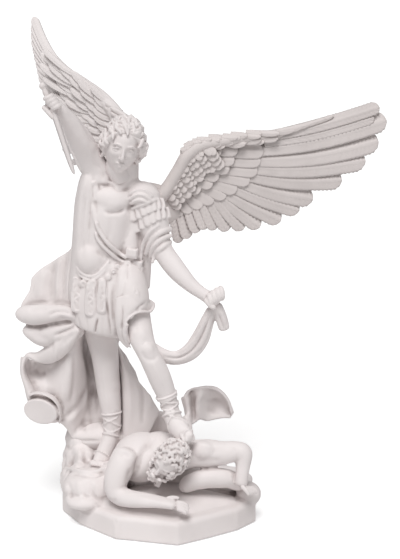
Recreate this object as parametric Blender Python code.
"""Winged archangel statue standing over a fallen demon, one solid casting on a rock plinth."""

import math

import bmesh
import bpy
import numpy as np
from mathutils import Matrix, Vector

# Driving size: everything else is a share of the height, and a share is a 500th of it.
HEIGHT = 0.360
SHARE = HEIGHT / 500.0

# The pose is set out as seen by an eye in front of the statue and a little above it.
EYE_TILT = math.radians(12.0)
EYE_AWAY = 1389.0
EYE_LENS = 1420.0
EYE_ACROSS = 41.7
EYE_UP = 244.5 + EYE_AWAY * math.tan(EYE_TILT)
VIEW_MIDDLE = (200.0, 279.5)

# Sizes in shares
PLINTH_TOP = 24.0
PLINTH_CHAMFER = 3.5
VOXEL = 1.25
SLIT_CLOSED = 0.8
TRIANGLES = 9600
FEATHER_THICK = 2.6
FLIGHT_FEATHERS = 15
FEATHER_ROWS = 5
FOLD_RISE = 3.2
TAB_THICK = 3.0
STONE = (0.88, 0.86, 0.84, 1.0)


def spot(across, down, back=0.0):
    """The place in shares that the eye sees at across and down, at a depth behind the middle."""
    a = (across - VIEW_MIDDLE[0]) / EYE_LENS
    b = (VIEW_MIDDLE[1] - down) / EYE_LENS
    s, c = math.sin(EYE_TILT), math.cos(EYE_TILT)
    away = back + EYE_AWAY
    rise = away * (b * c - s) / (c + b * s)
    return np.array((EYE_ACROSS + a * (away * c - rise * s), back, EYE_UP + rise))


def course(rows, count):
    """Evenly numbered points of a smooth curve through the rows."""
    rows = np.asarray(rows, float)
    ends = np.vstack([2 * rows[0] - rows[1], rows, 2 * rows[-1] - rows[-2]])
    where = np.linspace(0, len(rows) - 1, count)
    first = np.minimum(where.astype(int), len(rows) - 2)
    t = (where - first)[:, None]
    p0, p1, p2, p3 = (ends[first + k] for k in range(4))
    return 0.5 * (
        2 * p1 + (p2 - p0) * t + (2 * p0 - 5 * p1 + 4 * p2 - p3) * t**2 + (3 * p1 - p0 - 3 * p2 + p3) * t**3
    )


def placed(rows):
    """Rows of across, down, back and sizes, with the first three turned into places."""
    return np.array([np.concatenate([spot(*row[:3]), row[3:]]) for row in rows], float)


def unit(v):
    return v / (np.linalg.norm(v, axis=-1, keepdims=True) + 1e-9)


def limb(bm, rows, steps=26, ring=16, facing=(0, 1, 0), cap=0.1, ridges=0, rise=0.0):
    """A rounded tube along rows of (across, down, back, half width, half depth)."""
    path = course(placed(rows), steps + 1)
    line, wide, deep = path[:, :3], np.abs(path[:, 3]), np.abs(path[:, 4])
    ahead = unit(np.gradient(line, axis=0))
    front = unit(np.array(facing, float) - ahead * (ahead @ np.array(facing, float))[:, None])
    side = np.cross(ahead, front)
    made = bmesh.ops.create_uvsphere(bm, u_segments=ring, v_segments=steps, radius=1.0)
    for v in made["verts"]:
        k = round(math.acos(max(-1, min(1, -v.co.z))) / math.pi * steps)
        t = k / steps
        end = min(t, 1 - t) / cap
        close = math.sqrt(max(0.0, 1 - (1 - min(end, 1)) ** 2)) if 0 < k < steps else 0.0
        turn = math.atan2(v.co.y, v.co.x)
        swell = close * (1 + rise * math.cos(ridges * turn) if ridges else close)
        v.co = line[k] + side[k] * (wide[k] * swell * math.cos(turn)) + front[k] * (deep[k] * swell * math.sin(turn))


def ball(bm, place, sizes, turn=(0, 0, 0), segments=16):
    """An ellipsoid at a seen place, with half sizes and a turn in degrees about X, Y and Z."""
    made = bmesh.ops.create_uvsphere(bm, u_segments=segments, v_segments=segments // 2 + 2, radius=1.0)
    spin = Matrix.Rotation(math.radians(turn[2]), 4, "Z") @ Matrix.Rotation(math.radians(turn[1]), 4, "Y")
    spin = spin @ Matrix.Rotation(math.radians(turn[0]), 4, "X")
    shape = Matrix.Translation(Vector(spot(*place))) @ spin @ Matrix.Diagonal((*sizes, 1.0))
    bmesh.ops.transform(bm, matrix=shape, verts=made["verts"])


def shell(bm, front, back):
    """Closes two grids of the same size into one solid: the seen side and the side behind it."""
    along, across = front.shape[0] - 1, front.shape[1] - 1
    rims = []
    for layer in (front, back):
        made = bmesh.ops.create_grid(bm, x_segments=along, y_segments=across, size=0.5)
        for v in made["verts"]:
            v.co = layer[round((v.co.x + 0.5) * along), round((v.co.y + 0.5) * across)]
        edges = dict.fromkeys(e for v in made["verts"] for e in v.link_edges)
        rims += [e for e in edges if len(e.link_faces) == 1]
    bmesh.ops.bridge_loops(bm, edges=rims)


def sheet(bm, lines, thick, across=24, along=16, folds=0, rise=FOLD_RISE):
    """Cloth lofted through lines of seen places, with rounded folds that run along the lines."""
    curves = np.array([course(placed(line), along + 1) for line in lines])
    rows = course(curves.reshape(len(curves), -1), across + 1).reshape(across + 1, along + 1, 3)
    out = unit(np.cross(np.gradient(rows, axis=0), np.gradient(rows, axis=1)))
    out = out if out[..., 1].mean() < 0 else -out
    i, j = np.arange(across + 1)[:, None] / across, np.arange(along + 1)[None, :] / along
    wave = np.cos(2 * math.pi * folds * i + 1.1 * np.sin(3.1 * j)) if folds else np.zeros((across + 1, along + 1))
    shell(bm, rows + out * (rise * wave * (0.45 + 0.55 * j))[..., None], rows - out * thick)


def feather(bm, root, tip, width, bend=0.0, thick=FEATHER_THICK, along=10, shaft=1.0, blunt=1.0):
    """A long leaf with a raised shaft and a rounded tip, from one seen place to another."""
    a, b = spot(*root), spot(*tip)
    ahead = unit(b - a)
    side = unit(np.cross(ahead, np.array((0.0, 1.0, 0.0))))
    out = np.cross(side, ahead)
    out = out if out[1] < 0 else -out
    length = np.linalg.norm(b - a)
    tip_share = min(0.6, 0.5 * blunt * width / length)
    t = 1 - np.linspace(1, 0, along + 1)[:, None, None] ** 1.7
    s = np.linspace(-1, 1, 5)[None, :, None]
    past = np.clip((t - 1 + tip_share) / tip_share, 0, 1)
    round_end = np.maximum(0.12, np.sqrt(1 - past * past))
    narrow = (0.55 + 0.45 * np.sin(np.minimum(1.0, t / 0.6) * math.pi / 2)) * round_end
    lift = (shaft * (1 - np.abs(s)) * 1.2 - 0.9 * s * s) * (0.3 + 0.7 * round_end)
    rows = a + ahead * (length * t) + side * (0.5 * width * s * narrow + bend * np.sin(math.pi * t))
    shell(bm, rows + out * lift, rows + out * (lift - thick))


def plinth(bm):
    """The faceted slab: its front corners as seen on the table, its back on half an ellipse."""
    front = ((62, 511), (79, 525), (115, 540), (127, 541), (178, 546.5), (209, 539), (238, 531), (256, 522))
    corners = []
    for a, d in front:
        low, high = -150.0, 150.0
        for _ in range(40):
            middle = 0.5 * (low + high)
            low, high = (middle, high) if spot(a, d, middle)[2] > 0 else (low, middle)
        corners.append(spot(a, d, low)[:2])
    middle = 0.5 * (corners[0] + corners[-1])
    half = 0.5 * (corners[-1][0] - corners[0][0])
    backs = 9
    for k in range(1, backs + 1):
        turn = math.pi * k / (backs + 1)
        swell = 1 + 0.03 * math.sin(5.3 * k)
        corners.append(middle + np.array((half * math.cos(turn), 82 * math.sin(turn))) * swell)
    made = bmesh.ops.create_circle(bm, cap_ends=True, segments=len(corners), radius=1.0)
    centre = np.mean(corners, axis=0)
    order = sorted(made["verts"], key=lambda v: math.atan2(v.co.y, v.co.x))
    corners.sort(key=lambda c: math.atan2(c[1] - centre[1], c[0] - centre[0]))
    for v, c in zip(order, corners):
        v.co = (c[0], c[1], -6.0)
    base = order[0].link_faces[0]
    for height, shrink in ((PLINTH_TOP - PLINTH_CHAMFER, 0.995), (PLINTH_TOP, 0.96)):
        grown = bmesh.ops.extrude_face_region(bm, geom=[base])["geom"]
        base = next(g for g in grown if isinstance(g, bmesh.types.BMFace))
        for v in base.verts:
            v.co = Vector((*(centre + (np.array(v.co[:2]) - centre) * shrink), height))


def rocks(bm):
    for place, sizes, turn in (
        ((93, 480, 0), (33, 34, 24), (10, 0, 20)),
        ((82, 462, 14), (18, 24, 26), (0, 10, 30)),
        ((98, 462, 26), (30, 30, 30), (20, 0, 50)),
        ((80, 440, 24), (15, 20, 16), (0, 0, 15)),
        ((130, 470, 30), (50, 44, 26), (0, 0, 0)),
        ((180, 472, 34), (52, 42, 20), (0, 0, 0)),
        ((220, 482, 4), (34, 34, 16), (0, 0, 0)),
        ((246, 500, -28), (17, 16, 12), (0, 20, 10)),
        ((156, 500, -34), (88, 50, 6), (0, 0, 0)),
        ((158, 430, 4), (16, 14, 14), (0, 0, 0)),
    ):
        ball(bm, place, sizes, turn, 12)


def torso(bm):
    limb(bm, (
        (104, 312, 4, 24, 20), (105, 290, 2, 27, 22), (102, 268, 0, 23, 19), (100, 250, -2, 20.5, 17),
        (103, 232, -2, 22, 18), (109, 212, 0, 25, 20), (115, 197, 4, 24, 17), (119, 186, 6, 16, 13),
        (121, 178, 6, 10, 11),
    ), 30, 20, cap=0.05)
    limb(bm, ((124, 192, 6, 14, 12), (127, 176, 5, 12.5, 12), (128, 155, 3, 13, 12)), 10, 14, cap=0.1)
    ball(bm, (101, 204, -12), (12, 8, 9), (0, 8, -14))
    ball(bm, (121, 206, -13), (13, 8, 9), (0, 4, 10))
    ball(bm, (94, 262, -12), (15, 9, 14), (0, 0, 0))
    ball(bm, (142, 196, 3), (17, 15, 15))
    ball(bm, (97, 178, 3), (15, 14, 15))


def head(bm):
    ball(bm, (122, 146, -6), (15.5, 19, 23), (8, 14, 8), 20)
    ball(bm, (126, 134, 0), (18, 20, 19), (0, 10, 0), 20)
    ball(bm, (121, 162, -14), (9, 9, 8))
    ball(bm, (122, 149, -25), (3, 4.5, 6), (0, 14, 0), 10)
    for k in range(11):
        turn = math.radians(-105 + 21 * k)
        a, d = 125 + 18 * math.sin(turn), 137 - 19 * math.cos(turn)
        ball(bm, (a, d + 2, -8 + 2 * math.cos(3 * k)), (6, 7, 6), (0, 30 * k, 0), 10)
    for k in range(5):
        ball(bm, (110 + 8 * k, 124 - 2 * math.sin(k), -20 + 1.5 * abs(k - 2)), (6, 5, 5), (0, 20 * k, 0), 10)


def arms(bm):
    limb(bm, (
        (146, 200, 4, 17, 16), (152, 220, 0, 18, 17), (157, 237, -4, 15, 14), (163, 251, -8, 10.5, 10),
        (172, 264, -14, 10, 9.5), (181, 275, -19, 9.2, 9), (192, 286, -25, 7.6, 7), (203, 294, -30, 6.6, 6),
        (213, 300, -32, 7.5, 7),
    ), 32, 16, cap=0.06)
    ball(bm, (214, 300, -32), (10, 9, 10), (0, 25, 0))
    ball(bm, (220, 293, -30), (5, 6, 4))
    limb(bm, (
        (99, 174, 4, 14, 13), (90, 156, -4, 12.5, 12), (78, 136, -16, 11, 11), (67, 120, -26, 8.5, 8.5),
        (58, 108, -34, 6.5, 6.5),
    ), 20, 14, cap=0.08)
    ball(bm, (52, 102, -36), (8.5, 9, 8), (0, -20, 0))


def sword(bm):
    limb(bm, (
        (45, 88, -37, 2.6, 2.6), (50, 104, -38, 3.4, 3.0), (58, 126, -40, 3.2, 2.0), (66, 150, -42, 2.8, 1.9),
        (74, 174, -44, 1.6, 1.4),
    ), 22, 10, cap=0.03)
    limb(bm, ((41, 114, -38, 2.8, 2.8), (51, 110, -38, 3, 3), (60, 106, -38, 2.8, 2.8)), 8, 8, facing=(0, 1, 0))


def legs(bm):
    limb(bm, (
        (122, 285, 0, 22, 20), (131, 305, -10, 18, 18), (138, 325, -22, 14.5, 15.5), (145, 342, -32, 13, 14),
        (152, 355, -36, 12.5, 13), (157, 368, -35, 12.5, 13), (162, 382, -33, 12, 12), (167, 396, -32, 11, 10.5),
        (171, 408, -33, 9.5, 9), (175, 420, -38, 10, 9), (180, 430, -46, 9.5, 7.5), (187, 438, -56, 8.5, 5.5),
        (191, 442, -62, 6, 4),
    ), 40, 16, cap=0.04)
    limb(bm, (
        (96, 300, 6, 20, 20), (99, 325, 6, 17, 17), (104, 350, 2, 14, 15), (106, 364, -2, 13.2, 14),
        (108, 384, 0, 12.6, 13), (110, 402, 2, 11.5, 12), (112, 420, 4, 9.6, 10), (111, 434, 4, 8.6, 9),
        (107, 446, -2, 8.6, 8), (102, 457, -10, 8.5, 6), (97, 467, -18, 7, 4),
    ), 40, 16, cap=0.04)


def skirt(bm):
    limb(bm, (
        (108, 262, 0, 24, 20), (108, 276, 0, 31, 24), (108, 296, -2, 38, 28), (106, 316, -2, 38, 30),
        (104, 334, -2, 33, 30), (103, 340, -2, 30, 28),
    ), 26, 36, cap=0.05, ridges=9, rise=0.035)
    for k in range(4):
        a = 77 + 12.5 * k
        bow = 1 - ((k - 2.6) / 3.6) ** 2
        feather(bm, (a + 1, 278, -12 - 18 * bow), (a, 314 + bow, -14 - 22 * bow), 13, 0, TAB_THICK, 6, 0.2, 0.8)
        feather(bm, (a + 16, 266 - 2 * k, -14 - 12 * bow), (a + 17, 285 - 3 * k, -16 - 16 * bow), 10, 0, TAB_THICK, 5, 0.2, 1)
    limb(bm, ((152, 296, -20, 8, 7), (140, 312, -34, 7, 5), (124, 322, -34, 5, 5), (120, 336, -30, 5, 5)), 14, 10)


def sleeve(bm):
    for row, (down, size, drop) in enumerate(((192, 17, 6), (204, 18.5, 15), (217, 18, 15))):
        limb(bm, (
            (129 + row, down + 4, -14, 5, 3.2), (138 + row, down + 1, -19, 5.5, 3.4),
            (150 + 2 * row, down - 1, -14, 5.5, 3.4), (162 + 2 * row, down + 2, 2, 5, 3.2),
        ), 12, 8, facing=(0, 0.3, -1), cap=0.12)
        if row:
            for k in range(5):
                turn = (k - 1.6) / 3.4
                a = 133 + row * 2 + 7.4 * k
                back = -20 + 16 * turn * turn
                feather(bm, (a, down - 6, back), (a + 1, down + 11, back - 2), 8.5, 0, TAB_THICK, 4, 0.1, 0.4)
    sheet(bm, (
        ((126, 236, -6), (130, 262, -4), (140, 292, 0)),
        ((140, 234, -18), (142, 262, -12), (146, 296, -4)),
        ((154, 232, -20), (150, 258, -10), (150, 284, -2)),
        ((166, 232, -14), (163, 246, -8), (152, 262, 0)),
        ((172, 234, -2), (169, 244, 0), (156, 256, 6)),
    ), 5, 24, 14, 4, 2.4)


def cloak(bm):
    limb(bm, (
        (90, 176, 6, 8, 14), (87, 196, 4, 8, 17), (86, 220, 2, 9, 18), (83, 244, 2, 10, 18), (79, 268, 4, 13, 18),
        (80, 292, 4, 12, 16),
    ), 20, 16, ridges=5, rise=0.08)
    limb(bm, ((132, 190, 16, 22, 9), (124, 230, 22, 26, 9), (118, 280, 26, 30, 10), (112, 340, 30, 36, 10)), 20, 16)
    sheet(bm, (
        ((80, 232, 0), (78, 270, -2), (82, 318, -6)),
        ((70, 250, 8), (64, 280, 4), (64, 312, -2)),
        ((52, 262, 14), (46, 284, 8), (46, 308, 2)),
        ((33, 270, 16), (29, 287, 12), (26, 306, 8)),
    ), 7, 30, 14, 4, 2.8)
    limb(bm, ((84, 320, -8, 6, 7), (68, 312, -6, 9, 9), (46, 308, -2, 10, 10), (28, 310, 4, 9, 8), (17, 312, 8, 6, 5)), 20, 12)
    limb(bm, ((80, 322, 8, 8, 7), (60, 322, 9, 9, 7), (40, 320, 10, 9, 6), (26, 318, 10, 6, 5)), 14, 12)
    limb(bm, ((80, 334, -4, 6, 7), (66, 330, 0, 9, 9), (48, 334, 4, 12, 9), (35, 330, 8, 11, 8), (25, 320, 9, 7, 7)), 18, 12)
    limb(bm, ((86, 322, -8, 5, 6), (76, 334, -6, 7, 8), (62, 346, 0, 8, 8), (48, 354, 8, 7, 6), (32, 356, 12, 5, 5)), 18, 12)
    limb(bm, ((58, 350, 2, 5, 5), (44, 357, 6, 5, 5), (30, 356, 8, 5, 5), (24, 368, 8, 4.5, 6), (28, 384, 8, 5, 7), (34, 398, 8, 7, 8)), 24, 12)
    ball(bm, (42, 410, 6), (16, 11, 13), (0, -8, 0))
    sheet(bm, (
        ((30, 356, 18), (27, 374, 20), (34, 398, 16), (50, 420, 12)),
        ((58, 342, 14), (58, 370, 12), (62, 400, 12), (70, 432, 10)),
        ((82, 334, 10), (80, 366, 12), (84, 400, 14), (90, 440, 14)),
        ((104, 334, 20), (104, 366, 24), (108, 400, 26), (110, 444, 24)),
        ((118, 340, 20), (124, 364, 20), (132, 396, 20), (136, 440, 16)),
        ((122, 346, 22), (136, 366, 22), (148, 386, 20), (159, 411, 14)),
    ), 9, 44, 20, 8, 3.6)
    limb(bm, (
        (214, 307, -30, 5, 4), (207, 322, -28, 7, 4.5), (200, 339, -24, 9.5, 5), (190, 352, -22, 9, 5),
        (176, 358, -20, 7, 5), (162, 355, -22, 7.5, 6), (148, 346, -24, 7, 6),
    ), 26, 12, facing=(0.3, 1, 0.2), cap=0.06)
    limb(bm, ((216, 303, -32, 5, 4), (221, 318, -31, 6.5, 4), (226, 334, -30, 7, 4)), 10, 10, cap=0.15)


def baldric(bm):
    for shift in (0, 4):
        limb(bm, (
            (91 + shift, 176, -8, 2.4, 2.4), (94 + shift, 200, -20, 2.6, 2.4), (98 + shift, 228, -20, 2.6, 2.4),
            (110 + shift, 246, -22, 2.6, 2.4), (132 + shift, 262, -20, 2.6, 2.4),
        ), 20, 8, cap=0.04)
    ball(bm, (131, 253, -19), (7, 5, 5), (0, 8, 0), 8)
    ball(bm, (136, 264, -17), (7, 5, 5), (0, 20, 0), 8)


def demon(bm):
    limb(bm, ((176, 456, -40, 24, 16), (172, 452, -18, 26, 18), (160, 450, 8, 24, 18), (150, 452, 34, 22, 16)), 16, 16, facing=(0, 0, 1))
    limb(bm, (
        (160, 446, -36, 16, 15), (142, 448, -40, 16, 16), (130, 462, -48, 13, 13), (122, 480, -56, 11, 12),
    ), 16, 14, cap=0.12)
    limb(bm, (
        (121, 488, -58, 11, 9), (138, 497, -66, 9, 8), (158, 503, -73, 7, 6), (174, 506, -77, 8, 5), (191, 508, -80, 8, 3),
    ), 18, 12, facing=(0, 0, 1), cap=0.1)
    limb(bm, (
        (184, 451, -40, 15, 14), (205, 452, -38, 13.5, 12), (225, 453, -38, 13, 11), (240, 454, -38, 11, 9),
        (244, 466, -38, 7.5, 8), (242, 480, -40, 7, 7), (246, 490, -44, 8, 5),
    ), 30, 14, facing=(0, 1, 0), cap=0.08)
    limb(bm, ((188, 490, -14, 9, 10), (204, 478, -12, 9, 10), (222, 475, -10, 9, 10), (238, 486, -8, 8, 9)), 16, 12, cap=0.15)
    ball(bm, (172, 460, -66), (18, 19, 22), (20, 30, 0), 18)
    for k in range(16):
        turn = 0.39 * k
        reach = 13 + 5 * math.cos(2.3 * k)
        ball(bm, (165 + reach * math.sin(turn), 472 + reach * math.cos(turn), -78 + 4 * math.sin(1.9 * k)), (5.5, 5, 5.5), (0, 40 * k, 0), 8)


def batwing(bm):
    sheet(bm, (
        ((181, 398, 8), (184, 416, 6), (186, 438, -6)),
        ((192, 388, 6), (192, 408, 2), (190, 430, -4)),
        ((203, 387, 8), (200, 404, 6), (198, 422, 4)),
        ((212, 387, 10), (210, 404, 8), (209, 423, 8)),
        ((222, 394, 14), (220, 406, 12), (220, 419, 12)),
        ((231, 410, 18), (231, 414, 17), (231, 419, 17)),
    ), 4, 20, 8)
    for end in ((200, 423, 3), (211, 424, 8), (222, 420, 12)):
        limb(bm, ((192, 390, 2, 3, 3), (0.5 * (196 + end[0]), 396, 4, 2.6, 2.6), (*end, 2, 2)), 12, 8)
    limb(bm, ((184, 436, -8, 6, 6), (188, 412, 0, 5, 5), (191, 391, 2, 4, 4), (211, 388, 8, 3, 3), (225, 400, 14, 2.6, 2.6), (232, 418, 17, 1.6, 1.6)), 26, 8)


def open_wing(bm):
    """The wing on the viewer's right, seen spread: rows of feathers from the tips inwards."""
    tips = course(((378, 110), (388, 122), (365, 160), (313, 201), (260, 228), (215, 232.5), (180, 242)), 61)
    at = np.interp(np.arange(FLIGHT_FEATHERS), (0, 1, 3, 5, 8, 11, 14), np.arange(7) * 10.0)
    tips = [tips[int(round(k))] for k in at]
    roots = course(((250, 147), (245, 152), (236, 163), (222, 178), (204, 191), (184, 200), (170, 206)), FLIGHT_FEATHERS)
    for k, (tip, root) in enumerate(zip(tips, roots)):
        near = k / (FLIGHT_FEATHERS - 1)
        width = (15 if k == 0 else 18.5 + 4 * math.sin(math.pi * near) - 1.5 * near)
        back = 58 - 26 * near
        feather(bm, (*root, 38 - 4 * near), (*tip, back - 0.35 * k), width, 2.0 * (0.5 - near), FEATHER_THICK + 0.8, 12)
    ends = course(((264, 138), (259, 165), (236, 189), (208, 203), (178, 217)), 41)
    bone = course(((206, 137), (190, 145), (182, 158), (174, 172), (163, 187)), 41)
    for row in range(FEATHER_ROWS):
        share = (1.0, 0.72, 0.5, 0.32, 0.16)[row]
        count = (11, 10, 9, 8, 7)[row]
        for k in range(count):
            spread = (k + 0.5 * (row % 2)) / count
            at = int(round(spread * 40))
            end = bone[at] + (ends[at] - bone[at]) * share
            start = bone[at] + (ends[at] - bone[at]) * max(0.0, share - 0.42)
            wide = 1.25 * np.linalg.norm(ends[0] - ends[-1]) / count * (0.5 + 0.5 * share) * 0.72
            feather(bm, (*start, 34 - 2 * row), (*end, 36 - 3.2 * row), wide, 0, FEATHER_THICK, 6, 0.8, 1.2)
    limb(bm, ((128, 204, 14, 9, 20), (146, 206, 20, 8, 24), (166, 206, 30, 6, 20), (180, 204, 33, 4, 14)), 12, 14, facing=(0, 0, 1))
    limb(bm, (
        (152, 204, 20, 8, 9), (170, 185, 27, 8, 8), (183, 165, 29, 7, 7), (193, 150, 31, 7, 6), (209, 142, 32, 6, 5),
        (240, 138, 36, 5, 4.5), (275, 137, 40, 4.5, 4), (310, 132, 46, 4, 3.5), (345, 122, 52, 3.4, 3),
        (374, 112, 57, 3, 2.4),
    ), 40, 12)
    sheet(bm, (
        ((160, 192, 30), (166, 206, 32), (172, 228, 34)),
        ((184, 160, 32), (200, 185, 36), (206, 220, 38)),
        ((206, 144, 34), (228, 172, 40), (250, 212, 44)),
        ((250, 140, 40), (280, 164, 48), (312, 186, 52)),
        ((320, 126, 50), (330, 145, 56), (344, 164, 58)),
        ((366, 112, 58), (370, 120, 60), (374, 132, 61)),
    ), 5, 24, 14)


def raised_wing(bm):
    """The wing on the viewer's left, raised and turned back, so that it looks narrow."""
    tips = course(((31, 17), (31, 48), (36, 79), (43, 104), (57, 135), (76, 163)), 12)
    roots = course(((80, 86), (84, 94), (90, 104), (98, 116), (104, 132), (104, 152)), 12)
    for k, (tip, root) in enumerate(zip(tips, roots)):
        near = k / 11
        feather(bm, (*root, 44 - 6 * near), (*tip, 104 - 62 * near), 15 + 3 * near, -2 * (1 - near), FEATHER_THICK + 0.8, 12)
    for row in range(4):
        count = 8
        for k in range(count):
            spread = (k + 0.5 * (row % 2)) / count
            root = np.array((103 - 9 * row, 96 - 7 * row)) * (1 - spread) + np.array((112 - 5 * row, 150 + 2 * row)) * spread
            reach = np.array((-19 + 10 * spread, -20 + 26 * spread)) * 1.1
            feather(bm, (*root, 34 + 3 * row), (*(root + reach), 40 + 5 * row), 11, 0, FEATHER_THICK, 6, 0.8, 1.2)
    limb(bm, (
        (116, 186, 18, 12, 10), (122, 150, 24, 12, 8), (122, 119, 32, 8, 6), (105, 98, 44, 7, 6), (81, 83, 58, 6, 5),
        (59, 68, 74, 5, 4.5), (43, 46, 92, 4, 4), (33, 22, 106, 3, 3),
    ), 36, 12)
    sheet(bm, (
        ((35, 24, 106), (35, 30, 106), (35, 36, 106)),
        ((58, 62, 78), (48, 66, 80), (40, 74, 84)),
        ((80, 84, 58), (66, 94, 62), (52, 104, 64)),
        ((104, 100, 44), (88, 118, 48), (72, 142, 46)),
        ((122, 116, 34), (108, 140, 36), (90, 164, 34)),
        ((126, 140, 28), (118, 160, 28), (104, 178, 26)),
    ), 5, 24, 12)


def clean_shell(mesh):
    """Keeps the outer shell only, dropping shells that were closed in by overlapping forms."""
    bm = bmesh.new()
    bm.from_mesh(mesh)
    left, best = set(bm.faces), []
    while left:
        group, border = [], [left.pop()]
        while border:
            face = border.pop()
            group.append(face)
            for edge in face.edges:
                for other in edge.link_faces:
                    if other in left and len(edge.link_faces) == 2:
                        left.discard(other)
                        border.append(other)
        if len(group) > len(best):
            best = group
    best = set(best)
    odd = sum(len(e.link_faces) != 2 for e in bm.edges)
    print("faces kept", len(best), "of", len(bm.faces), "odd edges", odd)
    bmesh.ops.delete(bm, geom=[f for f in bm.faces if f not in best], context="FACES")
    bm.to_mesh(mesh)
    bm.free()


def with_modifier(obj, kind, **settings):
    """Applies one modifier and leaves the object with the shape that it makes."""
    modifier = obj.modifiers.new(kind.lower(), kind)
    for name, value in settings.items():
        setattr(modifier, name, value)
    graph = bpy.context.evaluated_depsgraph_get()
    mesh = bpy.data.meshes.new_from_object(obj.evaluated_get(graph))
    obj.modifiers.clear()
    obj.data = mesh


def stone():
    material = bpy.data.materials.new("cast_stone")
    material.use_nodes = True
    shader = material.node_tree.nodes["Principled BSDF"]
    shader.inputs["Base Color"].default_value = STONE
    shader.inputs["Roughness"].default_value = 0.55
    return material


def main():
    for obj in list(bpy.data.objects):
        bpy.data.objects.remove(obj)
    bpy.context.scene.unit_settings.scale_length = 1.0
    bm = bmesh.new()
    for form in (
        plinth, rocks, torso, head, arms, sword, legs, skirt, sleeve, cloak, baldric, demon, batwing, open_wing,
        raised_wing,
    ):
        form(bm)
    bmesh.ops.recalc_face_normals(bm, faces=bm.faces)
    bmesh.ops.scale(bm, vec=(SHARE, SHARE, SHARE), verts=bm.verts)
    mesh = bpy.data.meshes.new("statue")
    bm.to_mesh(mesh)
    bm.free()
    statue = bpy.data.objects.new("statue", mesh)
    bpy.context.collection.objects.link(statue)
    with_modifier(statue, "REMESH", mode="VOXEL", voxel_size=VOXEL * SHARE)
    clean_shell(statue.data)
    with_modifier(statue, "SMOOTH", factor=0.5, iterations=1)
    with_modifier(statue, "DISPLACE", strength=SLIT_CLOSED * SHARE, mid_level=0.0)
    with_modifier(statue, "REMESH", mode="VOXEL", voxel_size=VOXEL * SHARE)
    clean_shell(statue.data)
    with_modifier(statue, "DISPLACE", strength=-SLIT_CLOSED * SHARE, mid_level=0.0)
    with_modifier(statue, "SMOOTH", factor=0.5, iterations=1)
    faces = sum(len(p.vertices) - 2 for p in statue.data.polygons)
    with_modifier(statue, "DECIMATE", ratio=TRIANGLES / faces)
    bm = bmesh.new()
    bm.from_mesh(statue.data)
    cut = bmesh.ops.bisect_plane(
        bm, geom=bm.verts[:] + bm.edges[:] + bm.faces[:], plane_co=(0, 0, 0), plane_no=(0, 0, 1), clear_inner=True
    )
    rim = [g for g in cut["geom_cut"] if isinstance(g, bmesh.types.BMEdge)]
    under = bmesh.ops.holes_fill(bm, edges=rim, sides=0)["faces"]
    bmesh.ops.poke(bm, faces=under)
    bmesh.ops.recalc_face_normals(bm, faces=bm.faces)
    bm.to_mesh(statue.data)
    bm.free()
    clean_shell(statue.data)
    statue.data.materials.clear()
    statue.data.materials.append(stone())
    print("triangles", len(statue.data.polygons), "bounds", [tuple(c) for c in (statue.bound_box[0], statue.bound_box[6])])


main()
